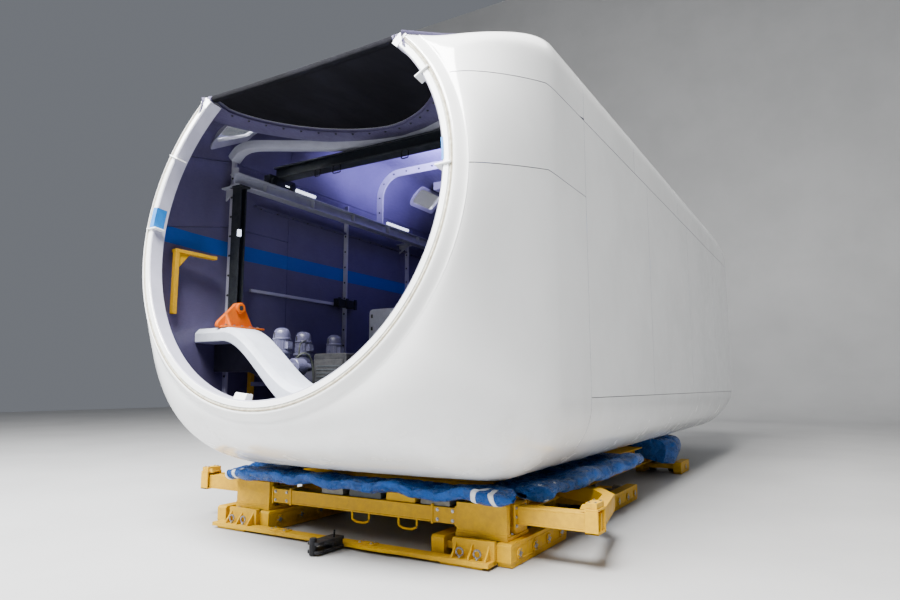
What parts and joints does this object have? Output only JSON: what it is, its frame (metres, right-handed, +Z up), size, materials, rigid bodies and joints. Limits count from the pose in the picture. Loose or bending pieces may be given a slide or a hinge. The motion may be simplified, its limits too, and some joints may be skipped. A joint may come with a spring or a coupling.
{
  "type": "wind turbine nacelle housing on a transport frame",
  "caption": "White wind turbine nacelle housing with an open front ring, bed frame and service crane inside, standing on a yellow wheeled transport frame.",
  "frame": {"origin": "on the floor, under the middle of the outline", "axes": "+Z up, +Y from the open front ring towards the rear, +X to the right when looking from the front to the rear"},
  "size_m": [5.1, 13.5238, 5.25],
  "materials": {
    "shell": "white gel coat on glass fibre",
    "glass": "clear skylight pane",
    "cover": "matt black sheet",
    "trim": "light grey paint",
    "casting": "light grey paint on cast iron",
    "orange": "orange paint",
    "motor": "white paint",
    "steel": "dark grey paint",
    "black": "black paint, oily",
    "yellow": "yellow paint, scuffed",
    "tarp": "blue plastic sheet"
  },
  "bodies": {
    "housing": {"front_lower_left": "shell", "front_middle_left": "shell", "front_lower_right": "shell", "front_middle_right": "shell", "front_roof": "shell", "roof_panel_1": "shell", "roof_panel_2": "shell", "roof_panel_3": "shell", "roof_panel_4": "shell", "skylight_front": "glass", "skylight_rear": "glass", "side_panel_left_1": "shell", "side_panel_left_2": "shell", "side_panel_left_3": "shell", "side_panel_left_4": "shell", "side_panel_right_1": "shell", "side_panel_right_2": "shell", "side_panel_right_3": "shell", "side_panel_right_4": "shell", "bottom_shell": "shell", "rear_wall": "shell", "roof_cover": "cover", "roof_cover_rail": "trim", "bed_frame": "casting", "lifting_lug": "orange", "yaw_drives_left": "motor", "yaw_drives_right": "motor", "crane_rail_left": "trim", "crane_column_left": "steel", "crane_rail_right": "trim", "crane_column_right": "steel", "control_cabinet": "trim", "brake_unit": "black", "truck_front_left": "yellow", "truck_middle_left": "yellow", "truck_rear_left": "yellow", "truck_front_right": "yellow", "truck_middle_right": "yellow", "truck_rear_right": "yellow", "pedestal_left": "yellow", "side_beam_left": "yellow", "outrigger_left": "yellow", "pedestal_right": "yellow", "side_beam_right": "yellow", "outrigger_right": "yellow", "cross_beam_front": "yellow", "yaw_seat": "yellow", "cross_beam_rear": "yellow", "tie_bar": "yellow", "coupling": "black", "tarp_front": "tarp", "tarp_left": "tarp", "tarp_right": "tarp", "tarp_rear": "tarp"},
    "crane_bridge": {"crane_bridge": "steel"}
  },
  "joints": [
    {"name": "crane_travel", "type": "slide", "parent": "housing", "child": "crane_bridge", "axis": [0, 1, 0], "range_m": [-0.5, 8.2]}
  ]
}
